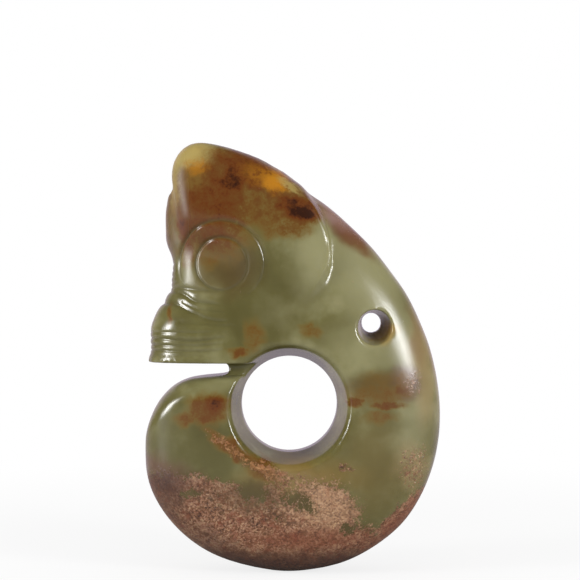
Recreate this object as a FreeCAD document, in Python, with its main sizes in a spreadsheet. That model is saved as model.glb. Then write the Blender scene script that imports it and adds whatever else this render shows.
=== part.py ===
"""Jade pig dragon: one pebble of jade, carved as a curled beast round a big bore.

The row frame is in millimetres: +Z up, the face looks along -X, and the two flanks
look along -Y and +Y. The origin is the centre of the big bore, half way through the
stone. Nothing is joined on: everything below shapes one solid.
"""

import FreeCAD, Part
import math
import os

from FreeCAD import Placement, Rotation, Vector

# Driving dimensions in millimetres, then places as shares of what they follow.
SIZES = [
    ("carving_height", 150.0, "foot of the ring to the tips of the ears"),
    ("carving_width", 103.8, "snout to the back of the ring"),
    ("carving_thickness", 41.0, "flank to flank"),
    ("bore_rise", 58.9, "foot of the ring to the centre of the big bore"),
    ("bore_setback", 50.7, "snout to the centre of the big bore"),
    ("bore_radius", 16.9, "waist of the big bore, where the drillings from both flanks meet"),
    ("bore_land", 8.0, "straight wall at that waist"),
    ("bore_flare", 3.7, "how much wider each drilling is at the flank"),
    ("bore_lip_width", 1.1, "bevel round each mouth of the big bore, seen from the flank"),
    ("bore_lip_depth", 1.6, "the same bevel, measured into the stone"),
    ("cord_hole_radius", 3.5, "waist of the suspension hole"),
    ("cord_hole_land", 4.0, "straight wall at that waist"),
    ("cord_hole_flare", 3.2, "how much wider each drilling is at the flank"),
    ("cord_hole_lean_back", 0.9, "how far each mouth lies behind the waist"),
    ("cord_hole_lean_down", 1.6, "how far each mouth lies below the waist"),
    ("gap_width", 4.4, "sawn gap between the jaw and the tail"),
    ("web_length", 3.9, "end of the gap to the wall of the big bore"),
    ("web_thickness", 22.0, "stone left there between the two flanks"),
    ("tail_end_height", 29.4, "rounded end of the tail, below the gap"),
    ("ear_gap_width", 17.0, "space between the ears, just above their tips"),
    ("ear_gap_floor_width", 7.0, "the same at its floor, on top of the forehead"),
    ("eye_disc_radius", 9.2, "disc of the eye"),
    ("eye_ring_radius", 16.0, "outer edge of the ring round the disc"),
    ("eye_groove_width", 1.1, "the two round grooves of the eye"),
    ("wrinkle_width", 0.9, "the grooves across the snout"),
    ("engraving_depth", 0.8, "depth of the grooves of eye and snout"),
    ("overrun", 3.0, "how far each cutter runs out past the stone"),
    ("cord_hole_level_share", 0.5825, "share of the height"),
    ("cord_hole_setback_share", 0.767, "share of the width"),
    ("ear_gap_level_share", 0.908, "share of the height"),
    ("eye_level_share", 0.7220, "share of the height"),
    ("eye_setback_share", 0.2690, "share of the width"),
    ("gap_level_share", 0.74, "middle of the gap above the bore's centre, share of the bore's radius"),
    ("web_reach_share", 0.3, "where the gap's cutters end inside the bore, share of the bore's radius"),
]

# A station is a level section through the blank: its level, the outline of the body
# there and the outline of the head. The body is the ring with the neck, snout and
# forehead. The head is both cheeks and both ears, as one block before the space between
# the ears is sawn out: it stands proud as far back as the edge of the ears, which runs
# down behind the eye and dies out above the bore. The section is the wider of the two.
# Levels are shares of the height. An outline holds its front and back ends as shares of
# the width, its half thickness as a share of half the thickness, and how square its
# front and its back are, where 2 is an ellipse.
STATION_SHARES = [
    (0.0000, (0.4600, 0.5200, 0.13, 2.2, 2.2), None),
    (0.0059, (0.3951, 0.5828, 0.37, 2.2, 2.2), None),
    (0.0177, (0.3168, 0.6612, 0.52, 2.3, 2.3), None),
    (0.0389, (0.2317, 0.7325, 0.66, 2.5, 2.5), None),
    (0.0672, (0.1635, 0.7972, 0.77, 2.7, 2.7), None),
    (0.1097, (0.0954, 0.8688, 0.87, 2.8, 2.8), None),
    (0.1663, (0.0375, 0.9267, 0.95, 2.9, 2.9), None),
    (0.2229, (0.0068, 0.9642, 0.99, 3.0, 3.0), None),
    (0.2936, (0.0000, 0.9915, 1.00, 3.0, 3.0), None),
    (0.3785, (0.0000, 1.0000, 1.00, 3.0, 3.0), None),
    (0.4351, (0.0034, 0.9932, 1.00, 3.0, 3.0), None),
    (0.4917, (0.0102, 0.9779, 0.99, 3.0, 3.0), None),
    (0.5342, (0.0100, 0.9608, 0.98, 3.0, 3.0), None),
    (0.5767, (0.0204, 0.9370, 0.97, 2.9, 3.0), None),
    (0.6191, (0.0460, 0.9097, 0.945, 2.6, 3.0), (0.2250, 0.5283, 0.952, 2.2, 6.0)),
    (0.6616, (0.0784, 0.8756, 0.905, 2.6, 3.0), (0.1772, 0.5760, 0.955, 2.2, 8.0)),
    (0.7040, (0.0886, 0.8313, 0.87, 2.7, 3.0), (0.1466, 0.6101, 0.958, 2.2, 9.0)),
    (0.7323, (0.0920, 0.8007, 0.84, 2.7, 3.0), (0.1363, 0.6271, 0.96, 2.2, 9.0)),
    (0.7606, (0.0750, 0.7666, 0.81, 2.6, 3.1), (0.1295, 0.6305, 0.96, 2.6, 9.0)),
    (0.8030, (0.0681, 0.7053, 0.76, 2.5, 3.2), (0.1142, 0.6169, 0.958, 4.2, 8.0)),
    (0.8455, (0.0681, 0.6371, 0.70, 2.4, 3.2), (0.1057, 0.5896, 0.945, 5.5, 7.0)),
    (0.8738, (0.0750, 0.5826, 0.64, 2.4, 3.0), (0.1022, 0.5624, 0.93, 6.0, 5.5)),
    (0.8880, (0.0784, 0.5521, 0.57, 2.3, 2.6), (0.1005, 0.5487, 0.92, 6.0, 4.7)),
    (0.9021, (0.0960, 0.5317, 0.44, 2.2, 2.3), (0.0960, 0.5317, 0.91, 6.0, 4.0)),
    (0.9163, None, (0.0940, 0.5044, 0.895, 5.6, 3.4)),
    (0.9304, None, (0.0930, 0.4806, 0.88, 5.0, 3.0)),
    (0.9446, None, (0.0954, 0.4465, 0.86, 4.4, 2.8)),
    (0.9587, None, (0.1000, 0.4124, 0.84, 3.8, 2.7)),
    (0.9729, None, (0.1091, 0.3681, 0.81, 3.2, 2.6)),
    (0.9870, None, (0.1244, 0.3067, 0.755, 2.8, 2.6)),
    (0.9953, None, (0.1414, 0.2590, 0.70, 2.6, 2.6)),
    (1.0000, None, (0.1670, 0.2079, 0.64, 2.6, 2.6)),
]

# The rounded end of the tail. Its levels are shares of its height below the gap, and
# its foot is wider than the blank, so that only its top shapes the stone.
TAIL_STATION_SHARES = [
    (1.00, -0.0040, 1.20),
    (0.89, -0.0012, 1.15),
    (0.78, 0.0010, 1.10),
    (0.64, 0.0075, 1.05),
    (0.50, 0.0205, 1.015),
    (0.35, 0.0409, 0.985),
    (0.21, 0.0716, 0.95),
    (0.135, 0.0954, 0.915),
    (0.06, 0.1363, 0.86),
    (0.023, 0.1840, 0.81),
    (0.00, 0.2430, 0.73),
]
# How far the tail's end reaches past the bore's centre, as a share of the bore's radius
TAIL_REACH_SHARE = 0.255
TAIL_SQUARENESS = 3.0

# Each wrinkle is an arc through three places, each a share of the width and of the
# height. The first place lies ahead of the face, so the groove wraps round it.
WRINKLE_PLACE_SHARES = [
    ((0.0450, 0.6660), (0.1772, 0.6627), (0.2999, 0.6500)),
    ((0.0886, 0.6710), (0.1704, 0.6226), (0.2931, 0.6238)),
    ((0.0300, 0.6560), (0.1500, 0.6073), (0.3067, 0.5790)),
    ((-0.030, 0.5390), (0.1500, 0.5413), (0.3067, 0.5578)),
    ((-0.030, 0.5262), (0.1500, 0.5283), (0.2931, 0.5389)),
    ((-0.030, 0.5145), (0.1500, 0.5158), (0.2590, 0.5195)),
]
SECTION_POINTS = 96

# How sharply the wider of two outlines takes over from the other
SHARPNESS = 60


def make_sheet(doc):
    """The driving dimensions, one row each: what it is, and its value under an alias."""
    sheet = doc.addObject("Spreadsheet::Sheet", "Sizes")
    for row, (alias, value, meaning) in enumerate(SIZES, start=1):
        sheet.set(f"A{row}", meaning)
        sheet.set(f"B{row}", str(value))
        sheet.setAlias(f"B{row}", alias)
    doc.recompute()
    return sheet


def bind(feature, expressions):
    """Ties properties of a feature to expressions on the sheet."""
    for path, expression in expressions.items():
        feature.setExpression(path, expression)
    return feature


def setback(share):
    """Expression for an X that is a share of the width, counted from the snout."""
    return f"Sizes.{share} * Sizes.carving_width - Sizes.bore_setback"


def level(share):
    """Expression for a Z that is a share of the height, counted from the foot."""
    return f"Sizes.{share} * Sizes.carving_height - Sizes.bore_rise"


class Outline:
    """One rounded outline in the row frame: front and back ends and half thickness."""

    def __init__(self, front, back, half, front_squareness, back_squareness):
        self.front = front
        self.back = back
        self.half = half
        self.front_squareness = front_squareness
        self.back_squareness = back_squareness

    def radius(self, centre, along, across):
        """How far the outline lies from a point of its long axis, in one direction."""
        if along > 0:
            reach, squareness = self.back - centre, self.back_squareness
        else:
            reach, squareness = centre - self.front, self.front_squareness
        total = abs(along / reach) ** squareness + abs(across / self.half) ** squareness
        return total ** (-1 / squareness)


class Carving:
    """Turns the sheet's values and the station shares into places in the row frame."""

    def __init__(self, sheet):
        self.sheet = sheet
        self.half_thickness = sheet.carving_thickness / 2
        self.gap_floor = sheet.gap_level_share * sheet.bore_radius - sheet.gap_width / 2

    def x(self, share):
        return share * self.sheet.carving_width - self.sheet.bore_setback

    def z(self, share):
        return share * self.sheet.carving_height - self.sheet.bore_rise

    def outline(self, shares, inset=0):
        """An outline from its shares, or the same outline set in all round."""
        front, back, half, front_squareness, back_squareness = shares
        return Outline(
            self.x(front) + inset,
            self.x(back) - inset,
            half * self.half_thickness - inset,
            front_squareness,
            back_squareness,
        )


def level_section(outlines, height):
    """A smooth closed curve round one outline or two, centred on the first."""
    first, last = outlines[0], outlines[-1]
    centre = (first.front + first.back) / 2
    reach = (first.back - first.front) / 2
    points = []
    for n in range(SECTION_POINTS):
        turn = 2 * math.pi * n / SECTION_POINTS
        direction = Vector(reach * math.cos(turn), last.half * math.sin(turn), 0).normalize()
        radii = [outline.radius(centre, direction.x, direction.y) for outline in outlines]
        radius = sum(one**SHARPNESS for one in radii) ** (1 / SHARPNESS)
        points.append(Vector(centre, 0, height) + direction * radius)
    curve = Part.BSplineCurve()
    steps = [n / SECTION_POINTS for n in range(SECTION_POINTS + 1)]
    curve.interpolate(Points=points, PeriodicFlag=True, Parameters=steps)
    return Part.Wire([curve.toShape()])


def add_blank(doc, name, carving, inset=0):
    """The rubbed stone before it is drilled, sawn or engraved, or the same set in."""
    sections = []
    for station_level, body, head in STATION_SHARES:
        outlines = [carving.outline(shares, inset) for shares in (body, head) if shares]
        sections.append(level_section(outlines, carving.z(station_level)))
    blank = doc.addObject("Part::Feature", name)
    blank.Shape = Part.makeLoft(sections, True)
    return blank


def fuse(doc, name, features):
    """One feature joined from several."""
    joined = doc.addObject("Part::MultiFuse", name)
    joined.Shapes = features
    return joined


def cut(doc, name, base, tool):
    """The base feature less the tool feature."""
    remainder = doc.addObject("Part::Cut", name)
    remainder.Base = base
    remainder.Tool = tool
    return remainder


def add_rod(doc, name, radius, x="0", z="0"):
    """A cylinder right through the stone from flank to flank."""
    rod = doc.addObject("Part::Cylinder", name)
    rod.Placement = Placement(Vector(), Rotation(Vector(0, 0, 1), Vector(0, 1, 0)))
    return bind(
        rod,
        {
            "Radius": radius,
            "Height": "Sizes.carving_thickness + 2 * Sizes.overrun",
            "Placement.Base.x": x,
            "Placement.Base.y": "-(Sizes.carving_thickness / 2 + Sizes.overrun)",
            "Placement.Base.z": z,
        },
    )


def add_circle(doc, name, radius, x, y, z):
    """A circle that faces along Y."""
    circle = doc.addObject("Part::Circle", name)
    circle.Placement = Placement(Vector(), Rotation(Vector(0, 0, 1), Vector(0, 1, 0)))
    places = {"Radius": radius, "Placement.Base.x": x, "Placement.Base.y": y, "Placement.Base.z": z}
    return bind(circle, places)


def add_drilling(doc, hole, x="0", z="0", lean_back="0", lean_down="0"):
    """A hole drilled from both flanks: a straight waist that flares out to each flank."""
    waist = add_rod(doc, hole + "_waist", f"Sizes.{hole}_radius", x, z)
    flare_run = f"(Sizes.carving_thickness - Sizes.{hole}_land) / 2"
    growth = f"(1 + Sizes.overrun / ({flare_run}))"
    features = [waist]
    for side, sign in (("near", "-"), ("far", "+")):
        start = add_circle(
            doc,
            f"{hole}_{side}_start",
            f"Sizes.{hole}_radius",
            x,
            f"{sign}Sizes.{hole}_land / 2",
            z,
        )
        mouth = add_circle(
            doc,
            f"{hole}_{side}_mouth",
            f"Sizes.{hole}_radius + Sizes.{hole}_flare * {growth}",
            f"{x} + {lean_back} * {growth}",
            f"{sign}(Sizes.carving_thickness / 2 + Sizes.overrun)",
            f"{z} - {lean_down} * {growth}",
        )
        flare = doc.addObject("Part::Loft", f"{hole}_{side}_flare")
        flare.Sections = [start, mouth]
        flare.Solid = True
        flare.Ruled = True
        features.append(flare)
    return features


def add_bore_lips(doc):
    """The bevel round each mouth of the big bore, started below the wall that it meets."""
    lips = []
    for side, direction in (("near", -1), ("far", 1)):
        lip = doc.addObject("Part::Cone", f"bore_{side}_lip")
        lip.Placement = Placement(Vector(), Rotation(Vector(0, 0, 1), Vector(0, direction, 0)))
        bind(
            lip,
            {
                "Radius1": "Sizes.bore_radius + Sizes.bore_flare - Sizes.bore_lip_width",
                "Radius2": "Sizes.bore_radius + Sizes.bore_flare"
                " + Sizes.bore_lip_width * (1 + Sizes.overrun / Sizes.bore_lip_depth)",
                "Height": "2 * Sizes.bore_lip_depth + Sizes.overrun",
                "Placement.Base.y": f"{direction} * (Sizes.carving_thickness / 2 - 2 * Sizes.bore_lip_depth)",
            },
        )
        lips.append(lip)
    return lips


def add_tail_end(doc, carving):
    """The rounded end of the tail, from outside the blank at its foot up to the gap."""
    sheet = carving.sheet
    back_share = (sheet.bore_setback + TAIL_REACH_SHARE * sheet.bore_radius) / sheet.carving_width
    sections = []
    for depth_share, front_share, half_share in TAIL_STATION_SHARES:
        shares = (front_share, back_share, half_share, TAIL_SQUARENESS, TAIL_SQUARENESS)
        depth = depth_share * sheet.tail_end_height
        sections.append(level_section([carving.outline(shares)], carving.gap_floor - depth))
    tail_end = doc.addObject("Part::Feature", "TailEnd")
    tail_end.Shape = Part.makeLoft(sections, True)
    return tail_end


def add_gap(doc, carving):
    """Everything taken away between the jaw and the tail, back to the web at the bore."""
    ahead = "-(Sizes.bore_setback + Sizes.overrun)"
    gap_floor = "(Sizes.gap_level_share * Sizes.bore_radius - Sizes.gap_width / 2)"
    gap_end = "-(Sizes.bore_radius + Sizes.web_length + Sizes.gap_width / 2)"
    inside_bore = "-Sizes.web_reach_share * Sizes.bore_radius"
    whole_width = "Sizes.carving_thickness + 2 * Sizes.overrun"
    near_side = "-(Sizes.carving_thickness / 2 + Sizes.overrun)"
    under_jaw = bind(
        doc.addObject("Part::Box", "UnderJaw"),
        {
            "Length": f"{inside_bore} - {ahead}",
            "Width": whole_width,
            "Height": "Sizes.tail_end_height",
            "Placement.Base.x": ahead,
            "Placement.Base.y": near_side,
            "Placement.Base.z": f"{gap_floor} - Sizes.tail_end_height",
        },
    )
    slot = bind(
        doc.addObject("Part::Box", "GapSlot"),
        {
            "Length": f"{gap_end} - {ahead}",
            "Width": whole_width,
            "Height": "Sizes.gap_width",
            "Placement.Base.x": ahead,
            "Placement.Base.y": near_side,
            "Placement.Base.z": gap_floor,
        },
    )
    slot_end = add_rod(
        doc, "GapSlotEnd", "Sizes.gap_width / 2", gap_end, f"{gap_floor} + Sizes.gap_width / 2"
    )
    recesses = []
    for side, near_edge in (("Near", near_side), ("Far", "Sizes.web_thickness / 2")):
        recess = bind(
            doc.addObject("Part::Box", side + "WebRecess"),
            {
                "Length": f"{inside_bore} - {gap_end}",
                "Width": "(Sizes.carving_thickness - Sizes.web_thickness) / 2 + Sizes.overrun",
                "Height": "Sizes.gap_width",
                "Placement.Base.x": gap_end,
                "Placement.Base.y": near_edge,
                "Placement.Base.z": gap_floor,
            },
        )
        recesses.append(recess)
    beside_tail = cut(doc, "BesideTail", under_jaw, add_tail_end(doc, carving))
    return [beside_tail, slot, slot_end] + recesses


def add_ear_gap(doc):
    """The sawn space between the ears, narrowing down to a rounded floor."""
    floor = level("ear_gap_level_share")
    ahead = "-(Sizes.bore_setback + Sizes.overrun)"
    saw_cut = doc.addObject("Part::Wedge", "EarGap")
    saw_cut.Placement = Placement(Vector(), Rotation(Vector(0, 1, 0), Vector(0, 0, 1)))
    bind(
        saw_cut,
        {
            "Xmin": "0",
            "X2min": "0",
            "Xmax": "Sizes.carving_width",
            "X2max": "Sizes.carving_width",
            "Ymin": "0",
            "Ymax": f"Sizes.carving_height - Sizes.bore_rise + Sizes.overrun - ({floor})",
            "Zmin": "-Sizes.ear_gap_floor_width / 2",
            "Zmax": "Sizes.ear_gap_floor_width / 2",
            "Z2min": "-Sizes.ear_gap_width / 2",
            "Z2max": "Sizes.ear_gap_width / 2",
            "Placement.Base.x": ahead,
            "Placement.Base.z": floor,
        },
    )
    round_floor = doc.addObject("Part::Cylinder", "EarGapFloor")
    round_floor.Placement = Placement(Vector(), Rotation(Vector(0, 0, 1), Vector(1, 0, 0)))
    bind(
        round_floor,
        {
            "Radius": "Sizes.ear_gap_floor_width / 2",
            "Height": "Sizes.carving_width",
            "Placement.Base.x": ahead,
            "Placement.Base.z": floor,
        },
    )
    return [saw_cut, round_floor]


def add_eye_rings(doc):
    """Two round grooves on each flank: one round the eye's disc, one round its ring."""
    x = setback("eye_setback_share")
    z = level("eye_level_share")
    radii = {
        "EyeRing": ("Sizes.eye_ring_radius", "Sizes.eye_ring_radius - Sizes.eye_groove_width"),
        "EyeDisc": ("Sizes.eye_disc_radius + Sizes.eye_groove_width", "Sizes.eye_disc_radius"),
    }
    grooves = []
    for name, (outer, inner) in radii.items():
        outside = add_rod(doc, name + "Outside", outer, x, z)
        inside = add_rod(doc, name + "Inside", inner, x, z)
        grooves.append(cut(doc, name, outside, inside))
    return grooves


def add_wrinkles(doc, carving):
    """Curved blades right across the snout, one for each wrinkle."""
    sheet = carving.sheet
    near_side = -(carving.half_thickness + sheet.overrun)
    across = Vector(0, sheet.carving_thickness + 2 * sheet.overrun, 0)
    half_width = Vector(0, 0, sheet.wrinkle_width / 2)
    blades = []
    for number, place_shares in enumerate(WRINKLE_PLACE_SHARES, start=1):
        places = [Vector(carving.x(x), near_side, carving.z(z)) for x, z in place_shares]
        upper = [place + half_width for place in places]
        lower = [place - half_width for place in places]
        outline = Part.Wire(
            [
                Part.Arc(*upper).toShape(),
                Part.LineSegment(upper[-1], lower[-1]).toShape(),
                Part.Arc(*lower).toShape(),
                Part.LineSegment(lower[0], upper[0]).toShape(),
            ]
        )
        blade = doc.addObject("Part::Feature", f"Wrinkle{number}")
        blade.Shape = Part.Face(outline).extrude(across)
        blades.append(blade)
    return blades


def add_engraving(doc, carving):
    """The grooves of eye and snout, no deeper than the skin over the inset core."""
    pattern = fuse(doc, "Pattern", add_eye_rings(doc) + add_wrinkles(doc, carving))
    core = add_blank(doc, "Core", carving, carving.sheet.engraving_depth)
    return cut(doc, "Engraving", pattern, core)


def add_jade_body(doc, sheet):
    """The whole carving: the blank less its two holes, the gap and the engraving."""
    carving = Carving(sheet)
    bore = add_drilling(doc, "bore") + add_bore_lips(doc)
    cord_hole = add_drilling(
        doc,
        "cord_hole",
        setback("cord_hole_setback_share"),
        level("cord_hole_level_share"),
        "Sizes.cord_hole_lean_back",
        "Sizes.cord_hole_lean_down",
    )
    gaps = add_gap(doc, carving) + add_ear_gap(doc)
    openings = fuse(doc, "Openings", bore + cord_hole + gaps)
    opened = cut(doc, "Opened", add_blank(doc, "Blank", carving), openings)
    body = cut(doc, "JadeBody", opened, add_engraving(doc, carving))
    body.Label = "jade_body"
    return body


def check_document(doc):
    """Stops with a plain message if any object failed."""
    for obj in doc.Objects:
        if "Invalid" in obj.State or "Error" in obj.State:
            raise RuntimeError(f"{obj.Name} failed: {obj.State}")


def export(piece):
    """Writes one piece under its label, once its solid is known to be sound."""
    if piece.Shape.isNull() or not piece.Shape.isValid():
        raise RuntimeError(f"{piece.Label} has no valid shape")
    if len(piece.Shape.Solids) != 1:
        raise RuntimeError(f"{piece.Label} is in {len(piece.Shape.Solids)} pieces")
    os.makedirs("parts", exist_ok=True)
    piece.Shape.exportStep(f"parts/{piece.Label}.step")
    bounds = piece.Shape.optimalBoundingBox()
    print(f"{piece.Label}: {bounds.XLength:.1f} x {bounds.YLength:.1f} x {bounds.ZLength:.1f} mm")


def main():
    doc = FreeCAD.newDocument("JadePigDragon")
    sheet = make_sheet(doc)
    body = add_jade_body(doc, sheet)
    doc.recompute()
    check_document(doc)
    export(body)


main()
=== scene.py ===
"""Finishes the jade pig dragon: the polished stone with its engraving and colours, and its studio."""

import math

import bpy
import numpy as np
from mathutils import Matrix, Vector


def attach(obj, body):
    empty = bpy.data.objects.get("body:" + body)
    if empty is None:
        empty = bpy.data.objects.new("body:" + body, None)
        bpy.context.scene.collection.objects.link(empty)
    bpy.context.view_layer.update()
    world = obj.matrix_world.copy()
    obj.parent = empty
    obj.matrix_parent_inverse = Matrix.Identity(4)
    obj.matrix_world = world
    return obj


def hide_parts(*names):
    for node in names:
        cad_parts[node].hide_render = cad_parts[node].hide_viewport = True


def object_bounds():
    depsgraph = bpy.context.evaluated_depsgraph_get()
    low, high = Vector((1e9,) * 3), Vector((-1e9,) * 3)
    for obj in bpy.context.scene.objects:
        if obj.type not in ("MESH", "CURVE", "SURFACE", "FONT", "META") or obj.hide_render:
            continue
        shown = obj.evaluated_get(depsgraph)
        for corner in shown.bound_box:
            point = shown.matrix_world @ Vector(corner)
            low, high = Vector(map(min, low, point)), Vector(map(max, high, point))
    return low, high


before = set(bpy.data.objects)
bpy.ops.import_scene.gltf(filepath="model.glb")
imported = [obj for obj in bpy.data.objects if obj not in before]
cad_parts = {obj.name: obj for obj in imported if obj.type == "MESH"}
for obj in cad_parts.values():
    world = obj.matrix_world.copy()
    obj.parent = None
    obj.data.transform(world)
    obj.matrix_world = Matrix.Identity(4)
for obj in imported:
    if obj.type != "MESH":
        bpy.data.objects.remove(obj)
CAD_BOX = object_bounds()

bl_info = {
    "name": "Jade Pig Dragon",
    "version": (1, 0, 0),
    "blender": (4, 5, 0),
    "location": "View3D > Sidebar > Jade",
    "description": "Carves, polishes and colours the jade pig dragon, and sets up its studio",
    "category": "Object",
}

MM = 0.001
STONE_NAME = "jade_carving"

# How often each part of the stone is smoothed
GROOVE_FILLING_ROUNDS = 110
FLANK_SMOOTHING_ROUNDS = 30
EDGE_SMOOTHING_ROUNDS = 6

# Faces nearer than this to an edge are divided once, and those near the engraving once for each reach (mm)
EDGE_REACH = 1.2
ENGRAVING_REACHES = (0.9, 0.6)

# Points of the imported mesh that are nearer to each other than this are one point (mm)
MERGE_DISTANCE = 0.001

# A groove of this depth or more gets the full painted shade, the moss that darkens the grooves (mm)
SHADE_FULL_DEPTH = 0.6

# Stands for the distance to something that isn't near at all (mm)
FAR = 99.0

# Weights are written in this many steps from 0 to 1
WEIGHT_STEPS = 20

# Places on the flanks are (x, z) in millimetres from the centre of the big bore.
BORE = (0.0, 0.0)
BORE_MOUTH_RADIUS = 20.7
CORD_HOLE = (28.9, 28.5)
CORD_MOUTH = (29.8, 26.9)
CORD_MOUTH_RADIUS = 6.2

# The x of the jaw's rear end, and the z of its lower edge, of the gap's top and of the snout's top
JAW_REAR = -14.0
JAW_EDGE = 14.7
GAP_TOP = 14.6
SNOUT_TOP = 52.0

# The eye's ring runs clockwise from so many degrees to 0, where the teardrop takes over from it
EYE = (-23.4, 48.9)
RING_START = 206
RING_GROOVE_WIDTH = 1.7
DISC_GROOVE_WIDTH = 1.6
TEARDROP = [(-9.3, 44.5), (-11.2, 41.3), (-13.6, 38.7), (-16.6, 36.2), (-18.6, 35.0)]

# The rear edge of the ear, from its top downwards
EAR_REAR = [
    (4.7, 74.4),
    (7.9, 70.9),
    (10.3, 67.1),
    (12.0, 63.0),
    (13.2, 58.2),
    (13.6, 54.5),
    (13.2, 50.9),
    (11.9, 47.0),
    (8.0, 40.0),
    (2.7, 32.8),
]

# Each wrinkle of the snout: its depth, its width, and its points from the front backwards
WRINKLES = [
    (0.35, 0.7, [(-48.0, 49.2), (-38.5, 49.0)]),
    (0.35, 0.7, [(-48.0, 47.0), (-38.5, 46.8)]),
    (0.35, 0.7, [(-48.0, 44.9), (-38.5, 44.6)]),
    (0.35, 0.7, [(-48.0, 42.9), (-38.0, 42.6)]),
    (0.60, 0.9, [(-48.0, 41.2), (-40.0, 41.0), (-34.0, 40.3), (-29.5, 39.8), (-24.5, 39.3), (-19.0, 38.4)]),
    (0.75, 0.9, [(-46.0, 39.9), (-40.0, 39.5), (-36.5, 38.4), (-33.5, 36.5), (-30.0, 35.7), (-20.0, 34.6)]),
    (0.35, 0.8, [(-37.0, 35.9), (-33.0, 34.0), (-29.0, 32.9), (-20.0, 32.3)]),
    (0.80, 1.0, [(-50.0, 35.8), (-42.0, 35.6), (-38.7, 34.8), (-33.0, 32.0), (-26.5, 29.6), (-18.0, 29.4)]),
    (0.40, 0.9, [(-37.5, 28.6), (-30.0, 28.2), (-23.5, 27.7), (-16.0, 27.6)]),
    (0.30, 0.7, [(-51.5, 25.2), (-40.0, 25.4), (-30.0, 25.2), (-20.0, 26.6)]),
    (0.55, 0.7, [(-51.5, 23.2), (-43.0, 23.0), (-38.5, 22.5), (-30.0, 22.5), (-19.0, 24.4)]),
    (0.55, 0.7, [(-51.5, 20.8), (-44.0, 20.8), (-38.5, 20.8), (-30.0, 20.9), (-19.0, 22.2)]),
    (0.60, 0.7, [(-51.5, 19.0), (-44.0, 19.0), (-38.5, 18.9), (-28.0, 19.0), (-19.0, 20.0)]),
    (0.35, 0.6, [(-51.5, 17.6), (-38.5, 17.5), (-28.0, 17.4)]),
]

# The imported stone's own grooves, which are filled before the finer carving
PACKED_EYE = (-22.8, 49.4)
PACKED_EYE_RADII = (15.45, 9.75)
PACKED_WRINKLES = [
    [(-46.0, 41.0), (-32.3, 40.5), (-19.6, 38.6)],
    [(-41.5, 41.8), (-33.0, 34.5), (-20.3, 34.7)],
    [(-47.6, 39.5), (-35.1, 32.2), (-18.9, 28.0)],
    [(-53.8, 22.0), (-35.1, 22.3), (-18.9, 24.8)],
    [(-53.8, 20.0), (-35.1, 20.3), (-20.3, 21.9)],
    [(-53.8, 18.3), (-35.1, 18.5), (-23.8, 19.0)],
]

# Soft clouds in the green, among them painted sheen on the neck and nape and a painted glow in the cord
# hole's dish: colour, centre x and z, width, height, turn to the left, strength
CLOUDS = [
    # The sage over the neck is partly the stone's pale green, partly painted sheen from the right
    ("sage", 25, 46, 26, 46, 35, 0.8),
    ("sage", 30, 21, 38, 22, 10, 0.6),
    ("sage", 44, -2, 14, 34, 0, 0.45),
    ("sage", 8, 50, 13, 32, -10, 0.7),
    ("moss", -8, 38, 30, 32, 0, 0.6),
    ("moss", -14, 28, 26, 14, 0, 0.5),
    ("moss", -30, -16, 30, 20, 0, 0.7),
    ("moss", -13, -28, 14, 10, 0, 0.8),
    ("moss", -19, 30, 5, 34, 12, 0.6),
    ("bronze", 30, -22, 26, 38, 0, 0.7),
    ("bronze", -24, 50, 24, 22, 0, 0.6),
    # Painted light: the honey, cream and amber over the cord hole's dish are a painted glow through the
    # stone and a painted brighter dish
    ("honey", 31, 26, 11, 10, 0, 1.0),
    ("cream", 33, 25, 8, 9, 0, 0.5),
    ("amber", 32, 25.5, 9, 10, 0, 0.35),
    ("plum", -43, 64, 7, 34, 0, 0.6),
    # The mauve along the nape is partly the stone's purple brown, partly painted sheen
    ("mauve", 17, 66, 30, 8, -43, 1.0),
    ("russet", 22, 57.5, 19, 6, -40, 0.75),
    ("fawn", 46, 14, 9, 40, 5, 0.7),
    ("russet", 44, 24, 4, 24, 14, 0.25),
    ("sage", -24, 8, 26, 8, 5, 0.35),
    ("plum", -44, -22, 18, 9, -8, 0.8),
    ("honey", 4, -24, 38, 12, 0, 0.85),
    ("fawn", 0, -25, 24, 8, 0, 0.35),
    ("fawn", 43, -22, 12, 18, 0, 0.6),
    ("peat", 31, 6.5, 28, 12, 0, 0.85),
    ("bronze", -8, 68, 26, 18, 0, 0.7),
    ("plum", 40, 8, 10, 12, 15, 0.9),
    ("peat", -21, 49, 22, 20, 0, 0.8),
]

# Iron stains: centre x and z, width, height, turn to the left, strength
IRON = [
    (-27, 70, 32, 40, 0, 0.68),
    (-35, 62, 9, 26, 0, 0.72),
    (-13, 80, 38, 15, -20, 0.76),
    (-20, 77, 12, 10, 30, 0.88),
    (-8, 69, 26, 20, 0, 0.42),
    (3, 68, 18, 11, -22, 0.95),
    (5, 66.5, 12, 7, -20, 1.1),
    (-1, 61.5, 22, 9, 0, 0.42),
    (-22, 57, 24, 10, 0, 0.4),
    (-28, 52, 10, 14, 0, 0.33),
    (-17, 19, 9, 5, 0, 0.5),
    (-12, 24, 8, 14, 0, 0.34),
    (7, 26, 10, 6, 0, 0.34),
    (-41, 31, 3, 9, 0, 0.4),
    (-28, -1, 15, 12, 15, 0.58),
    (-35, -4, 10, 6, 10, 0.42),
    (-26, 0, 6, 7, 0, 0.8),
    (-20, -14, 24, 6, -35, 0.5),
    (31, 4.5, 28, 9, 0, 0.34),
    (33, 9, 24, 8, 0, 0.26),
    (23, 2, 6, 5, 0, 0.62),
    (34, 0.5, 15, 4, 0, 0.52),
    (39.5, 7, 8, 9, 10, 0.5),
    (31, -4, 14, 5, 0, 0.34),
    (-10, -21, 16, 8, -30, 0.5),
]

# The tips of the ears, which have no iron: colour, then as the clouds
TIPS = [
    ("cream", -36, 87, 18, 10, 8, 1.0),
    ("cream", -40, 78, 4, 20, 0, 0.6),
]

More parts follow.
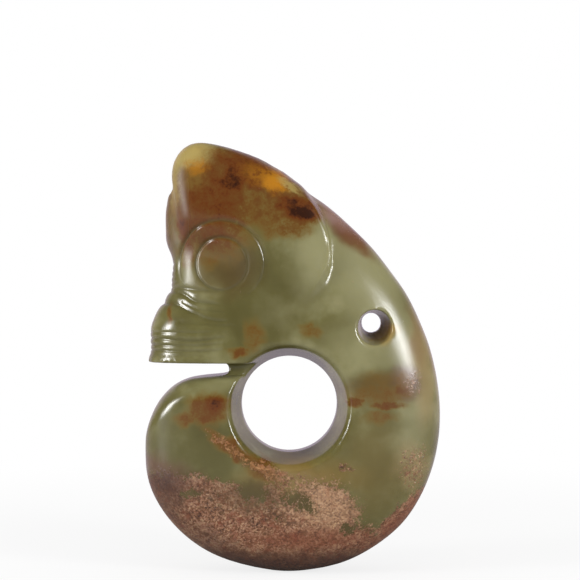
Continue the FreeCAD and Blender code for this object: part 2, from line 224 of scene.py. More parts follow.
# Bright spots among the iron stains: colour, then as the clouds
GLOWS = [
    ("honey", -33, 78, 9, 7, 0, 0.6),
    ("amber", -31.7, 82.3, 8, 5.5, 0, 0.6),
    ("amber", -9, 79, 15, 7, -25, 0.45),
    ("amber", -4.5, 77.5, 9, 8, -35, 1.0),
    ("cream", 0, 76, 9, 3, -35, 0.8),
]

# The crust: centre x and z, width, height, turn to the left, and how thickly it lies
CRUST = [
    (-30, -42, 58, 34, 0, 1.1),
    (-4, -53, 84, 30, 0, 1.25),
    (-38, -31, 30, 20, 0, 0.95),
    (9, -38, 30, 25, 0, 0.95),
    (18, -36, 12, 18, 20, 0.85),
    (-14, -32, 46, 15, 0, 0.75),
    (-8, -22, 24, 5, -25, 0.7),
    (-20, -15, 22, 4, -35, 0.45),
    (37, -43.5, 42, 11, 47, 1.0),
    (43, -21, 10, 17, -10, 0.42),
    (19, -21, 5, 4, 0, 0.6),
    (4, -25, 22, 5, 0, 0.42),
    (43, 8, 9, 9, 0, 0.36),
    (21, 63, 24, 6, -43, 0.3),
]

# Where clear stone shows through the crust: centre x and z, width, height, turn, strength
WINDOWS = [
    (-13, -28, 10, 8, 0, 0.8),
    (4, -33, 14, 7, -25, 0.65),
    (19, -43, 6, 7, 0, 0.65),
    (-34, -30, 7, 4, 0, 0.7),
    (-28, -21, 26, 7, 0, 0.5),
    (-15, -45, 5, 4, 0, 0.4),
    (-24, -34, 12, 5, 0, 0.3),
]

# Darker, redder and paler parts of the crust, and a painted shade along its foot: colour, then as the clouds
CRUST_CLOUDS = [
    ("amber", -16, -17, 36, 8, -35, 0.3),
    ("peat", -14, -30, 30, 14, 0, 0.45),
    ("ash", 13, -33, 26, 20, 0, 0.45),
    ("brick", 38, -43, 40, 10, 47, 0.5),
    ("brick", 8, -46, 46, 8, 0, 0.45),
    ("bark", -42, -30, 18, 34, -20, 0.5),
    ("bark", -45, -25, 16, 12, 0, 0.6),
    # Painted shade: the bark band along the foot darkens the crust towards the bottom
    ("bark", 0, -57, 120, 13, 0, 0.75),
    ("bark", -24, -50, 40, 12, -30, 0.4),
]

# Where the polish is worn: centre x and z, width, height, turn, and how much rougher it is
RUBBED = [
    (-38.8, 70, 7.5, 38, 0, 0.3),
    (-35, 48, 8, 15, 0, 0.15),
    (39, 27, 13, 36, 23, 0.06),
]

# Soft boxes: name, azimuth to the right and elevation in degrees, width and height in metres,
# the studio's power that it takes from, and its share of that power
SOFT_BOXES = [
    ("left_soft_box", -68, 14, 0.34, 0.40, "left_power", 0.4),
    ("left_soft_box_centre", -68, 12, 0.16, 0.28, "left_power", 0.6),
    ("right_soft_box", 50, 17, 0.34, 0.32, "right_power", 0.45),
    ("right_soft_box_centre", 51, 16, 0.14, 0.22, "right_power", 0.55),
]

# The studio's lengths in metres, and the camera's lens and sensor in millimetres
LAMP_DISTANCE = 0.8
FLOOR_RADIUS = 3.0
CAMERA_PLACE = (0.00025, -0.600, 0.040)
CAMERA_LENS = 105.2
SENSOR_WIDTH = 36


def linear(code):
    """A colour such as "8f8a5c" as the linear numbers that a shader takes."""
    steps = [int(code[i : i + 2], 16) / 255 for i in (0, 2, 4)]
    return tuple(s / 12.92 if s <= 0.04045 else ((s + 0.055) / 1.055) ** 2.4 for s in steps)


# Tint of the pale room behind the stone, as the stone mirrors it
REFLECTION = linear("e4d4e6")


def length(name, description, millimetres):
    """A length that a user can change, with so many millimetres to start with."""
    return bpy.props.FloatProperty(
        name=name, description=description, default=millimetres * MM, min=0, precision=5, unit="LENGTH"
    )


def colour(name, description, code):
    """A colour that a user can change, with this hexadecimal colour to start with."""
    return bpy.props.FloatVectorProperty(
        name=name, description=description, default=linear(code), subtype="COLOR", size=3, min=0, max=1
    )


def share(name, description, default):
    """A number from 0 to 1 that a user can change."""
    return bpy.props.FloatProperty(
        name=name, description=description, default=default, min=0, max=1, subtype="FACTOR"
    )


class JadeSizes(bpy.types.PropertyGroup):
    """Sizes of the carving"""

    face_size: length("Face size", "Side of the even faces that the stone is rebuilt from", 1.15)
    eye_ring_radius: length("Eye ring radius", "Middle of the groove round the eye", 14.9)
    eye_disc_radius: length("Eye disc radius", "Middle of the groove round the eye's disc", 9.0)
    eye_groove_depth: length("Eye groove depth", "Depth of both grooves of the eye", 0.6)
    wrinkle_depth: share("Wrinkle depth", "Share of the snout's full wrinkles that is cut", 1.0)
    ear_rim: length("Ear rim", "How far the ear's rear edge stands proud", 2.1)
    ear_valley: length("Ear valley", "How deep the stone is cut back behind that edge", 1.1)


class JadeColours(bpy.types.PropertyGroup):
    """Colours and polish of the jade and of the stains in its skin, some of which also paint shade, sheen
    and glow
    """

    olive: colour("Olive", "Main green of the stone", "6e693f")
    # Moss also paints the shade in the grooves
    moss: colour("Moss", "Darker green, deep in the stone", "5a542d")
    # Sage also paints part of the sheen on the neck
    sage: colour("Sage", "Pale grey green of the neck and the back", "9a966e")
    bronze: colour("Bronze", "Brown green of the lower back", "6f6031")
    # Honey, amber and cream also paint the glow in the cord hole's dish
    honey: colour("Honey", "Yellow brown, where a stain begins", "7e652c")
    chestnut: colour("Chestnut", "Brown of a middling stain", "6c471c")
    russet: colour("Russet", "Red brown of the iron stains", "69370f")
    umber: colour("Umber", "Darkest iron stains", "381a09")
    amber: colour("Amber", "Bright spots among the iron stains", "b87a14")
    cream: colour("Cream", "Tips of the ears", "ac9758")
    fawn: colour("Fawn", "Pale brown of the back's outer edge", "a28c64")
    # Mauve is partly the nape's purple brown, partly painted sheen
    mauve: colour("Mauve", "Pale purple brown of the nape", "94766c")
    plum: colour("Plum", "Purple brown of the forehead and above the crust", "6c4c40")
    peat: colour("Peat", "Olive brown stone round and under the crust", "554426")
    # Bark also paints the shade along the foot of the crust
    bark: colour("Bark", "Darkest parts of the crust", "45281d")
    clay: colour("Clay", "Main brown of the crust", "7b5134")
    rose: colour("Rose", "Pink parts of the crust", "a1745a")
    ash: colour("Ash", "Pale grains of the crust", "c8a17c")
    brick: colour("Brick", "Red brown parts of the crust", "8a4a30")
    polish: share("Polish roughness", "Roughness of the polished stone", 0.2)
    crust_roughness: share("Crust roughness", "Roughness of the crust", 0.42)


class JadeStudio(bpy.types.PropertyGroup):
    """Light and floor of the studio"""

    left_power: bpy.props.FloatProperty(
        name="Left lamp", description="Power of the soft box on the left", default=4.2, min=0, unit="POWER"
    )
    right_power: bpy.props.FloatProperty(
        name="Right lamp", description="Power of the soft box on the right", default=3.6, min=0, unit="POWER"
    )
    room_light: share("Room light", "Brightness of the room all round", 0.62)
    floor_white: share("Floor white", "How far the floor near the stone fades to white", 0.8)


def select_only(piece):
    """Deselects everything, then selects this piece and makes it active."""
    bpy.ops.object.select_all(action="DESELECT")
    piece.select_set(True)
    bpy.context.view_layer.objects.active = piece


def read_points(mesh):
    """The mesh's points in millimetres."""
    points = np.zeros(len(mesh.vertices) * 3, np.float32)
    mesh.vertices.foreach_get("co", points)
    return points.reshape(-1, 3).astype(float) / MM


def write_points(mesh, points):
    """Moves the mesh's points to these places, in millimetres."""
    mesh.vertices.foreach_set("co", (points * MM).astype(np.float32).ravel())
    mesh.update()


def read_normals(mesh):
    """The mesh's normals at its points."""
    normals = np.zeros(len(mesh.vertices) * 3, np.float32)
    mesh.vertex_normals.foreach_get("vector", normals)
    return normals.reshape(-1, 3).astype(float)


def ramp(value, start, end):
    """0 at start and 1 at end, with an eased rise between them."""
    part = np.clip((value - start) / (end - start), 0, 1)
    return part * part * (3 - 2 * part)


def smooth_line(points, steps=8):
    """A smooth curve through these points, as a row of close points."""
    points = np.array(points, float)
    padded = np.vstack([2 * points[0] - points[1], points, 2 * points[-1] - points[-2]])
    part = np.linspace(0, 1, steps, endpoint=False)[:, None]
    runs = []
    for before, start, end, after in zip(padded, padded[1:], padded[2:], padded[3:]):
        square = 2 * before - 5 * start + 4 * end - after
        cube = 3 * start - before - 3 * end + after
        runs.append(0.5 * (2 * start + (end - before) * part + square * part**2 + cube * part**3))
    return np.vstack(runs + [points[-1:]])


def line_distance(places, line):
    """How far each place is from the line, on which side (1 left, -1 right), and how far along (0 to 1)."""
    best = np.full(len(places), np.inf)
    side = np.ones(len(places))
    along = np.zeros(len(places))
    lengths = np.linalg.norm(np.diff(line, axis=0), axis=1)
    gone = np.concatenate([[0], np.cumsum(lengths)])
    for number, (start, end) in enumerate(zip(line, line[1:])):
        run = end - start
        part = np.clip((places - start) @ run / (run @ run), 0, 1)
        away = places - (start + part[:, None] * run)
        distance = np.hypot(away[:, 0], away[:, 1])
        nearer = distance < best
        best[nearer] = distance[nearer]
        turn = run[0] * away[:, 1] - run[1] * away[:, 0]
        side[nearer] = np.sign(turn[nearer])
        along[nearer] = (gone[number] + part[nearer] * lengths[number]) / gone[-1]
    return best, side, along


def set_weights(piece, name, weights):
    """Writes one weight to each point under this vertex group's name."""
    group = piece.vertex_groups.get(name) or piece.vertex_groups.new(name=name)
    levels = np.round(weights * WEIGHT_STEPS)
    for level in range(WEIGHT_STEPS + 1):
        members = np.flatnonzero(levels == level)
        if len(members):
            group.add(members.tolist(), level / WEIGHT_STEPS, "REPLACE")


def apply_smoothing(piece, group_name, rounds):
    """Smooths the points in this vertex group, in so many rounds."""
    smoothing = piece.modifiers.new("smoothing", "SMOOTH")
    smoothing.factor = 0.5
    smoothing.iterations = rounds
    smoothing.vertex_group = group_name
    bpy.ops.object.modifier_apply(modifier=smoothing.name)


def smooth_without_shrinking(piece, weights, rounds):
    """Takes out ripples where the weights allow, and keeps the broad form where it was."""
    set_weights(piece, "broad", weights)
    apply_smoothing(piece, "broad", rounds)
    once = read_points(piece.data)
    apply_smoothing(piece, "broad", rounds)
    twice = read_points(piece.data)
    write_points(piece.data, 2 * once - twice)


def square_faces(piece, size):
    """Rebuilds the piece from even square faces of this size."""
    select_only(piece)
    piece.data.remesh_voxel_size = size
    piece.data.use_remesh_preserve_attributes = False
    bpy.ops.object.voxel_remesh()


def divide_faces(piece, near):
    """Divides each face that has a point where near is true."""
    mesh = piece.data
    corners = np.zeros(len(mesh.loops), np.int32)
    mesh.loops.foreach_get("vertex_index", corners)
    starts = np.zeros(len(mesh.polygons), np.int32)
    mesh.polygons.foreach_get("loop_start", starts)
    chosen = np.logical_or.reduceat(near[corners], starts)
    select_only(piece)
    bpy.ops.object.mode_set(mode="EDIT")
    bpy.ops.mesh.select_mode(type="FACE")
    bpy.ops.mesh.select_all(action="DESELECT")
    bpy.ops.object.mode_set(mode="OBJECT")
    mesh.polygons.foreach_set("select", chosen)
    bpy.ops.object.mode_set(mode="EDIT")
    bpy.ops.mesh.subdivide(number_cuts=1)
    bpy.ops.object.mode_set(mode="OBJECT")


def copy_packed_stone():
    """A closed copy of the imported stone, with plain smooth normals."""
    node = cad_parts["jade_body"]
    stone = bpy.data.objects.new(STONE_NAME, node.data.copy())
    bpy.context.scene.collection.objects.link(stone)
    stone.data.materials.clear()
    select_only(stone)
    bpy.ops.mesh.customdata_custom_splitnormals_clear()
    bpy.ops.object.mode_set(mode="EDIT")
    bpy.ops.mesh.select_all(action="SELECT")
    bpy.ops.mesh.remove_doubles(threshold=MERGE_DISTANCE * MM)
    bpy.ops.object.mode_set(mode="OBJECT")
    return stone


def edge_distance(points):
    """How far each point is from the mouths of the two holes and from the jaw's edge, in millimetres."""
    x, y, z = points.T
    bore = np.abs(np.hypot(x - BORE[0], z - BORE[1]) - BORE_MOUTH_RADIUS)
    cord_hole = np.abs(np.hypot(x - CORD_MOUTH[0], z - CORD_MOUTH[1]) - CORD_MOUTH_RADIUS)
    jaw = np.where(x < JAW_REAR, np.abs(z - JAW_EDGE), FAR)
    return np.minimum(np.minimum(bore, cord_hole), jaw)


def broad_weights(points):
    """1 on the broad flanks, and near 0 at the edges, which stay as crisp as they were sawn and drilled."""
    x, y, z = points.T
    bore = ramp(np.hypot(x - BORE[0], z - BORE[1]), 23.0, 27.0)
    cord_hole = ramp(np.hypot(x - CORD_HOLE[0], z - CORD_HOLE[1]), 8.0, 11.0)
    jaw = np.where(x < JAW_REAR, ramp(np.abs(z - GAP_TOP), 1.5, 5.0), 1.0)
    return np.maximum(bore * cord_hole * jaw, 0.1)


def packed_grooves(points):
    """1 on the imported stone's own grooves, 0 away from them."""
    places = points[:, [0, 2]]
    radius = np.hypot(*(places - PACKED_EYE).T)
    covered = np.zeros(len(points))
    for groove_radius in PACKED_EYE_RADII:
        covered = np.maximum(covered, 1 - ramp(np.abs(radius - groove_radius), 1.5, 2.4))
    for line in PACKED_WRINKLES:
        distance = line_distance(places, smooth_line(line))[0]
        covered = np.maximum(covered, 1 - ramp(distance, 1.8, 3.0))
    return covered


def groove(outside, depth, width):
    """Height of a groove with a steep inner wall and an easy outer one, at each distance outside it."""
    reach = np.where(outside < 0, 0.24 * width, 0.5 * width)
    return -depth * np.exp(-((outside / reach) ** 2))


def fold(distance, depth, width):
    """Height of a narrow valley between two rounded folds, at each distance from its middle."""
    return -depth * np.exp(-(np.sqrt(distance**2 + 0.04) - 0.2) / width)


class Engraving:
    """The fine carving of the flanks, worked out at each point of the stone."""

    def __init__(self, points, sizes):
        self.points = points
        self.places = points[:, [0, 2]]
        self.sizes = sizes
        self.height = np.zeros(len(points))
        self.near = np.full(len(points), FAR)
        self.rim = np.zeros(len(points))
        self.cut_eye()
        self.cut_wrinkles()
        self.raise_ear_rim()

    def cut_eye(self):
        """The ring of the eye, which runs out in a teardrop, and the disc inside it."""
        depth = self.sizes.eye_groove_depth / MM
        across = self.places - EYE
        radius = np.hypot(*across.T)
        # Both grooves are cut deeper towards the front and the top than towards the rear and the foot
        lean = 0.76 + 0.24 * (across @ (-0.7, 0.7)) / np.maximum(radius, 0.1)
        disc = radius - self.sizes.eye_disc_radius / MM
        self.height += groove(disc, depth, DISC_GROOVE_WIDTH) * lean
        self.near = np.minimum(self.near, np.abs(disc))
        ring_radius = self.sizes.eye_ring_radius / MM
        turns = np.radians(np.linspace(RING_START, 0, 24))
        arc = np.column_stack([EYE[0] + ring_radius * np.cos(turns), EYE[1] + ring_radius * np.sin(turns)])
        face = self.points[:, 2] < EYE[1] + ring_radius + 3
        ring, side, along = line_distance(self.places[face], smooth_line(np.vstack([arc, TEARDROP]), 4))
        fade = ramp(along, 0.0, 0.1) * (1 - ramp(along, 0.75, 1.0))
        self.height[face] += groove(ring * side, depth, RING_GROOVE_WIDTH) * lean[face] * fade
        self.near[face] = np.minimum(self.near[face], ring)

    def cut_wrinkles(self):
        """The folds that run across the nose and back along the snout."""
        above_jaw = self.points[:, 2] > JAW_EDGE + 0.2
        snout = (self.points[:, 0] < JAW_REAR) & (self.points[:, 2] < SNOUT_TOP) & above_jaw
        for depth, width, line in WRINKLES:
            distance, _, along = line_distance(self.places[snout], smooth_line(line))
            fade = 1 - ramp(along, 0.65, 1.0)
            self.height[snout] += fold(distance, depth, width) * fade * self.sizes.wrinkle_depth
            self.near[snout] = np.minimum(self.near[snout], distance + 5 * ramp(along, 0.85, 1.0))

    def raise_ear_rim(self):
        """The crisp rear edge of the ear, with the stone cut back behind it."""
        proud = self.sizes.ear_rim / MM
        valley = self.sizes.ear_valley / MM
        ear = (self.points[:, 0] > -5) & (self.points[:, 2] > 25)
        distance, side, along = line_distance(self.places[ear], smooth_line(EAR_REAR))
        outside = distance * side
        width = 0.9 + 3.0 * ramp(along, 0.45, 0.8)
        step = ramp(outside / width, 0.0, 1.0)
        inside_rise = proud * np.exp(np.minimum(outside, 0) / 1.8) * (1 - ramp(along, 0.45, 0.95))
        behind = valley * np.exp(-np.maximum(outside - width, 0) / 2.5) * (1 - ramp(along, 0.5, 0.75))
        self.rim[ear] = (inside_rise * (1 - step) - behind * step) * ramp(along, 0.0, 0.1)
        self.near[ear] = np.minimum(self.near[ear], np.abs(outside - 0.4))


def sink_engraving(stone, sizes):
    """Moves the stone's points to the engraved surface, and marks how deep each one lies, as the mask of the
    painted shade in the grooves.
    """
    mesh = stone.data
    points = read_points(mesh)
    normals = read_normals(mesh)
    engraving = Engraving(points, sizes)
    flank = np.sign(normals[:, 1]) * ramp(np.abs(normals[:, 1]), 0.1, 0.6)
    moved = points + normals * engraving.height[:, None]
    moved[:, 1] += engraving.rim * flank
    write_points(mesh, moved)
    # The mark is the mask of the painted shade that darkens the grooves
    mark = mesh.attributes.new("engraved", "FLOAT", "POINT")
    mark.data.foreach_set("value", np.clip(-engraving.height / SHADE_FULL_DEPTH, 0, 1).astype(np.float32))


class CarveStone(bpy.types.Operator):
    """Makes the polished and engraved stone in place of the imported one"""

    bl_idname = "jade.carve_stone"
    bl_label = "Carve the stone"

    def execute(self, context):
        sizes = context.scene.jade_sizes
        stone = copy_packed_stone()
        square_faces(stone, sizes.face_size)
        set_weights(stone, "packed grooves", packed_grooves(read_points(stone.data)))
        apply_smoothing(stone, "packed grooves", GROOVE_FILLING_ROUNDS)
        square_faces(stone, sizes.face_size)
        smooth_without_shrinking(stone, broad_weights(read_points(stone.data)), FLANK_SMOOTHING_ROUNDS)
        divide_faces(stone, edge_distance(read_points(stone.data)) < EDGE_REACH)
        set_weights(stone, "edges", 1 - ramp(edge_distance(read_points(stone.data)), 1.5, 3.0))
        apply_smoothing(stone, "edges", EDGE_SMOOTHING_ROUNDS)
        for reach in ENGRAVING_REACHES:
            divide_faces(stone, Engraving(read_points(stone.data), sizes).near < reach)
        sink_engraving(stone, sizes)
        bpy.ops.object.shade_smooth()
        if not stone.data.polygons:
            raise RuntimeError("the stone has no faces left")
        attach(stone, "root")
        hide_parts("jade_body")
        return {"FINISHED"}


class Wire:
    """A socket of a node tree, with sums and products of wires written as Python sums and products."""

    def __init__(self, tree, socket=None):
        self.tree = tree
        self.socket = socket

    def add(self, kind, settings=None, sockets=None, output=0):
        """Adds a node: its settings first, then what its sockets hold or what feeds them."""
        node = self.tree.nodes.new(kind)
        for name, value in (settings or {}).items():
            if name == "stops":
                set_stops(node.color_ramp, value)
            else:
                setattr(node, name, value)
        for key, value in (sockets or {}).items():
            socket = node.inputs[key]
            if isinstance(value, Wire):
                self.tree.links.new(value.socket, socket)
            elif socket.type == "RGBA":
                socket.default_value = (*value[:3], 1)
            else:
                socket.default_value = value
        return Wire(self.tree, node.outputs[output])

    def math(self, operation, first, second):
        """A node that does this operation with two wires or numbers."""
        return self.add("ShaderNodeMath", {"operation": operation}, {0: first, 1: second})

    def __add__(self, other):
        return self.math("ADD", self, other)

    __radd__ = __add__

    def __sub__(self, other):
        return self.math("SUBTRACT", self, other)

    def __rsub__(self, other):
        return self.math("SUBTRACT", other, self)

    def __mul__(self, other):
        return self.math("MULTIPLY", self, other)

    __rmul__ = __mul__

    def wider(self, other):
        """The larger of two masks."""
        return self.math("MAXIMUM", self, other)

    def eased(self, start, end):
        """0 where this wire is at start, 1 where it is at end, eased in between."""
        settings = {"interpolation_type": "SMOOTHSTEP"}
        return self.add("ShaderNodeMapRange", settings, {0: self, 1: start, 2: end, 3: 0, 4: 1})

    def stained(self, stain, mask):
        """This colour, with another one laid over it where the mask says."""
        return self.add("ShaderNodeMix", {"data_type": "RGBA"}, {0: mask, 6: self, 7: stain}, 2)

    def moved(self, shift, amount):
        """This place, pushed to and fro by a noise's colour, which is grey in its middle."""
        centred = self.add("ShaderNodeVectorMath", {"operation": "SUBTRACT"}, {0: shift, 1: (0.5, 0.5, 0.5)})
        push = self.add("ShaderNodeVectorMath", {"operation": "SCALE"}, {0: centred, 3: amount})
        return self.add("ShaderNodeVectorMath", {"operation": "ADD"}, {0: self, 1: push})

    def noise(self, grain, detail=2.0, roughness=0.5, output=0):
        """Noise at this place, with patches of about this many millimetres."""
        sockets = {"Vector": self, "Scale": 1 / grain, "Detail": detail, "Roughness": roughness}
        return self.add("ShaderNodeTexNoise", None, sockets, output)

    def grains(self, size):
        """Grains of about this many millimetres: three wires, each with one number for a grain."""
        cells = self.add("ShaderNodeTexVoronoi", None, {"Vector": self, "Scale": 1 / size}, 1)
        parts = self.add("ShaderNodeSeparateColor", None, {0: cells}).socket.node
        return [Wire(self.tree, output) for output in parts.outputs]

    def patch(self, x, z, width, height, turn, inner=0.3, outer=1.5):
        """1 in the middle of an ellipse on the flanks, 0 well outside it."""
        settings = {"vector_type": "TEXTURE"}
        sockets = {
            "Vector": self,
            "Location": (x, 0, z),
            "Rotation": (0, math.radians(-turn), 0),
            "Scale": (width / 2, 1000, height / 2),
        }
        inside = self.add("ShaderNodeMapping", settings, sockets)
        reach = self.add("ShaderNodeVectorMath", {"operation": "LENGTH"}, {0: inside}, 1)
        return reach.eased(outer, inner)

    def clouded(self, place, table, palette, texture=1.0):
        """This colour, with the table's patches of other colours laid over it."""
        cloudy = self
        for name, x, z, width, height, turn, strength in table:
            mask = place.patch(x, z, width, height, turn) * texture * strength
            cloudy = cloudy.stained(getattr(palette, name), mask)
        return cloudy

    def widest_patch(self, table, inner=0.3, outer=1.5):
        """The strongest of many patches, each with its strength at the end of its row."""
        widest = None
        for x, z, width, height, turn, strength in table:
            mask = self.patch(x, z, width, height, turn, inner, outer) * strength
            widest = mask if widest is None else widest.wider(mask)
        return widest


def set_stops(color_ramp, stops):
    """Gives a colour ramp these stops, each a place and a colour."""
    elements = color_ramp.elements
    while len(elements) > 1:
        elements.remove(elements[-1])
    for number, (place, stop) in enumerate(stops):
        element = elements[0] if number == 0 else elements.new(place)
        element.position = place
        element.color = (*stop[:3], 1)


def green_stone(place, drifting, palette):
    """Olive jade with soft clouds of darker and paler green, among them painted sheen on the neck and nape
    and a painted glow in the cord hole's dish.
    """
    stops = [(0.3, palette.moss), (0.5, palette.olive), (0.75, palette.sage)]
    stone = place.add("ShaderNodeValToRGB", {"stops": stops}, {0: place.noise(16.0, 4.0)})
    return stone.clouded(drifting, CLOUDS, palette)


def iron_density(place, frayed):
    """How much iron lies in the skin at each place."""
    iron = frayed.widest_patch(IRON)
    mottle = (place.noise(3.2, 4.0, 0.65) - 0.5) * 0.9 + (place.noise(0.7, 2.0) - 0.5) * 0.3
    return iron + mottle * iron.eased(0.05, 0.6)


def iron_stains(stone, density, place, streaked, palette):
    """The stone with iron in its skin: honey at the edge of a stain, umber in its middle."""
    stops = [
        (0.15, palette.honey),
        (0.48, palette.chestnut),
        (0.76, palette.russet),
        (1.00, palette.umber),
    ]
    tone = place.add("ShaderNodeValToRGB", {"stops": stops}, {0: density})
    stone = stone.stained(tone, density.eased(0.05, 0.46))
    broken = place.noise(2.4, 3.0, 0.6).eased(0.22, 0.5)
    return stone.clouded(streaked, TIPS, palette).clouded(streaked, GLOWS, palette, broken)


def crust_thickness(torn):
    """How much crust there is at each place, with and without the clear windows in it."""
    whole = torn.widest_patch(CRUST, 0.55, 1.45)
    return whole - torn.widest_patch(WINDOWS), whole


def crust_colours(place, torn, grain, palette):
    """Brown crust in clumps of red, pink and pale grains, with a painted shade along its foot."""
    clumps = place.noise(4.0, 5.0, 0.7)
    tone = clumps * 1.1 + grain * 0.5 + place.noise(0.9, 3.0, 0.6) * 0.8 - 0.66
    stops = [
        (0.12, palette.bark),
        (0.42, palette.clay),
        (0.64, palette.rose),
        (0.90, palette.ash),
    ]
    crust = place.add("ShaderNodeValToRGB", {"stops": stops}, {0: tone})
    reddened = place.moved((0.9, 0.1, 0.4), 60.0).noise(4.0, 5.0, 0.65)
    crust = crust.stained(palette.brick, reddened.eased(0.5, 0.68) * 0.65)
    clear = place.moved((0.2, 0.8, 0.9), 90.0).noise(3.0, 5.0, 0.65)
    crust = crust.stained(palette.peat, clear.eased(0.52, 0.72) * 0.6)
    return crust.clouded(torn, CRUST_CLOUDS, palette, grain * 0.9 + 0.55)


def jade_material():
    """Polished olive jade with iron stains in its skin and a granular crust below, with painted shade in its
    grooves and at its foot, painted sheen on the neck and nape and a painted glow in the cord hole's dish.
    """
    palette = bpy.context.scene.jade_colours
    material = bpy.data.materials.new("jade")
    material.use_nodes = True
    tree = material.node_tree
    shader = tree.nodes["Principled BSDF"]
    metres = Wire(tree).add("ShaderNodeTexCoord", output=3)
    place = metres.add("ShaderNodeVectorMath", {"operation": "SCALE"}, {0: metres, 3: 1 / MM})

    # Each of these feeds the next, because the renderer can't hold all their patches at once
    drifting = place.moved(place.noise(10.0, 2.0, output=1), 8.0)
    frayed = place.moved(drifting.noise(6.0, 3.0, output=1), 7.0)
    torn = place.moved(frayed.noise(7.0, 5.0, 0.65, output=1), 9.0)
    streaked = place.moved(torn.noise(2.5, 4.0, 0.65, output=1), 6.0)

    density = iron_density(place, frayed)
    stone = iron_stains(green_stone(place, drifting, palette), density, place, streaked, palette)
    engraved = metres.add("ShaderNodeAttribute", {"attribute_name": "engraved"}, None, 2)
    # Painted shade: moss darkens each groove by its depth
    stone = stone.stained(palette.moss, engraved * 0.55)

    jostled = place.moved(place.noise(0.5, 2.0, output=1), 0.5)
    first, second, third = jostled.grains(0.55)
    thickness, whole = crust_thickness(torn)
    stone = stone.stained(palette.peat, whole.eased(0.25, 0.9) * 0.75)
    uneven = second * 0.4 + place.noise(1.6, 4.0, 0.65) * 1.1 - 0.75
    crust = (thickness + uneven).eased(0.3, 0.74)
    stone = stone.stained(crust_colours(place, torn, first, palette), crust)

    tree.links.new(stone.socket, shader.inputs["Base Color"])
    rougher = palette.crust_roughness - palette.polish
    roughness = crust * rougher + place.noise(3.0, 3.0) * 0.08 + (palette.polish - 0.04)
    roughness = roughness + density.eased(0.1, 1.0) * 0.04 + place.widest_patch(RUBBED)
    tree.links.new(roughness.socket, shader.inputs["Roughness"])
    height = crust * third * 0.06 + place.noise(1.1, 3.0) * 0.008
    bump = place.add("ShaderNodeBump", None, {"Distance": MM, "Height": height})
    tree.links.new(bump.socket, shader.inputs["Normal"])
    shader.inputs["IOR"].default_value = 1.61
    shader.inputs["Subsurface Weight"].default_value = 0.2
    shader.inputs["Subsurface Radius"].default_value = (1.0, 0.8, 0.4)
    shader.inputs["Subsurface Scale"].default_value = 0.003
    return material


class PaintStone(bpy.types.Operator):
    """Gives the stone its jade"""

    bl_idname = "jade.paint_stone"
    bl_label = "Colour the stone"

    def execute(self, context):
        stone = bpy.data.objects.get(STONE_NAME)
        if stone is None:
            raise RuntimeError("carve the stone first")
        stone.data.materials.clear()
        stone.data.materials.append(jade_material())
        return {"FINISHED"}


def add_lamp(name, azimuth, elevation, width, height, power):
    """A soft box that faces the carving, at so many degrees to the camera's right and above it."""
    turn = math.radians(azimuth)
    lift = math.radians(elevation)
    place = (
        LAMP_DISTANCE * math.cos(lift) * math.sin(turn),
        -LAMP_DISTANCE * math.cos(lift) * math.cos(turn),
        LAMP_DISTANCE * math.sin(lift),
    )
    bpy.ops.object.light_add(type="AREA", location=place, rotation=(math.pi / 2 - lift, 0, turn))
    lamp = bpy.context.object
    lamp.name = name
    lamp.data.shape = "RECTANGLE"
    lamp.data.size = width
    lamp.data.size_y = height
    lamp.data.energy = power


def floor_material(white_share):
    """A pale floor that keeps the carving's shadow and runs out into the white surroundings."""
    material = bpy.data.materials.new("pale floor")
    material.use_nodes = True
    tree = material.node_tree
    tree.nodes.clear()
    path = tree.nodes.new("ShaderNodeLightPath")
    seen = Wire(tree, path.outputs["Is Camera Ray"])
    mirrored = Wire(tree, path.outputs["Is Glossy Ray"])
    place = seen.add("ShaderNodeTexCoord", output=3)
    reach = seen.add("ShaderNodeVectorMath", {"operation": "LENGTH"}, {0: place}, 1)
    depth = seen.add("ShaderNodeSeparateXYZ", None, {0: place}, 1)
    grey = seen.add("ShaderNodeMix", {"data_type": "RGBA"}, {0: seen, 6: (0.35,) * 3, 7: (0.9,) * 3}, 2)
    matt = seen.add("ShaderNodeBsdfDiffuse", None, {"Color": grey})
    tint = seen.add("ShaderNodeMix", {"data_type": "RGBA"}, {0: mirrored, 6: (1, 1, 1), 7: REFLECTION}, 2)
    white = seen.add("ShaderNodeEmission", None, {"Color": tint, "Strength": 1.0})
    fading = seen * (reach.eased(0.1, 0.4) * (1 - white_share) + white_share)
    fading = fading.wider(mirrored * depth.eased(0.0, 0.15) * 0.6)
    surface = seen.add("ShaderNodeMixShader", None, {0: fading, 1: matt, 2: white})
    output = tree.nodes.new("ShaderNodeOutputMaterial")
    tree.links.new(surface.socket, output.inputs["Surface"])
    return material


def studio_world(room_light):
    """White surroundings for the camera, a dim room in front of the stone and a pale one behind it."""
    world = bpy.data.worlds.new("studio")
    world.use_nodes = True
    tree = world.node_tree
    tree.nodes.clear()
    path = tree.nodes.new("ShaderNodeLightPath")
    seen = Wire(tree, path.outputs["Is Camera Ray"]).wider(Wire(tree, path.outputs["Is Transmission Ray"]))
    mirrored = Wire(tree, path.outputs["Is Glossy Ray"])
    direction = seen.add("ShaderNodeTexCoord")
    depth = seen.add("ShaderNodeSeparateXYZ", None, {0: direction}, 1)
    rise = seen.add("ShaderNodeSeparateXYZ", None, {0: direction}, 2)
    behind = depth.eased(0.3, 0.95) * (0.8 - 0.4 * rise.eased(0.1, 0.7)) + 0.04
    strength = seen + (1 - seen) * (mirrored * behind + (1 - mirrored) * room_light)
    tint = seen.add("ShaderNodeMix", {"data_type": "RGBA"}, {0: mirrored, 6: (1, 1, 1), 7: REFLECTION}, 2)
    background = seen.add("ShaderNodeBackground", None, {"Color": tint, "Strength": strength})
    output = tree.nodes.new("ShaderNodeOutputWorld")
    tree.links.new(background.socket, output.inputs["Surface"])
    return world


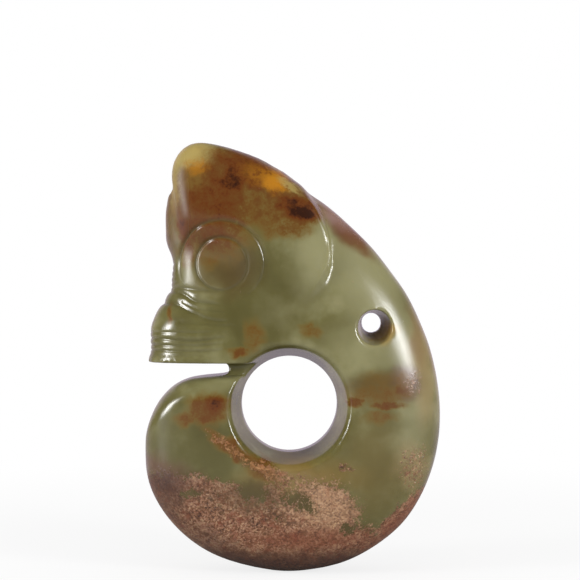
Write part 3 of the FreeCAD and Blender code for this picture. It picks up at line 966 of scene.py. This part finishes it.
class SetStage(bpy.types.Operator):
    """Adds the floor, the lamps, the surroundings and the camera"""

    bl_idname = "jade.set_stage"
    bl_label = "Set the stage"

    def execute(self, context):
        studio = context.scene.jade_studio
        bpy.ops.object.select_all(action="DESELECT")
        foot = CAD_BOX[0][2]
        bpy.ops.mesh.primitive_circle_add(
            vertices=96, radius=FLOOR_RADIUS, fill_type="NGON", location=(0, 0, foot)
        )
        floor = context.object
        floor.name = "floor"
        floor.data.materials.append(floor_material(studio.floor_white))
        for name, azimuth, elevation, width, height, side_power, part in SOFT_BOXES:
            add_lamp(name, azimuth, elevation, width, height, getattr(studio, side_power) * part)
        context.scene.world = studio_world(studio.room_light)
        bpy.ops.object.camera_add(location=CAMERA_PLACE, rotation=(math.pi / 2, 0, 0))
        camera = context.object
        camera.data.lens = CAMERA_LENS
        camera.data.sensor_width = SENSOR_WIDTH
        context.scene.camera = camera
        context.scene.view_settings.view_transform = "Standard"
        return {"FINISHED"}


class JadePanel(bpy.types.Panel):
    """The steps that make the carving, and what a user can change"""

    bl_idname = "JADE_PT_steps"
    bl_label = "Jade pig dragon"
    bl_space_type = "VIEW_3D"
    bl_region_type = "UI"
    bl_category = "Jade"

    def draw(self, context):
        scene = context.scene
        for group, step in (
            (scene.jade_sizes, CarveStone),
            (scene.jade_colours, PaintStone),
            (scene.jade_studio, SetStage),
        ):
            box = self.layout.box()
            for name in group.__annotations__:
                box.prop(group, name)
            box.operator(step.bl_idname)


GROUPS = {"jade_sizes": JadeSizes, "jade_colours": JadeColours, "jade_studio": JadeStudio}
CLASSES = (*GROUPS.values(), CarveStone, PaintStone, SetStage, JadePanel)


def register():
    for cls in CLASSES:
        bpy.utils.register_class(cls)
    for name, group in GROUPS.items():
        setattr(bpy.types.Scene, name, bpy.props.PointerProperty(type=group))


def unregister():
    for name in GROUPS:
        delattr(bpy.types.Scene, name)
    for cls in reversed(CLASSES):
        bpy.utils.unregister_class(cls)


def main():
    register()
    bpy.ops.jade.carve_stone()
    bpy.ops.jade.paint_stone()
    bpy.ops.jade.set_stage()


if __name__ == "__main__":
    main()
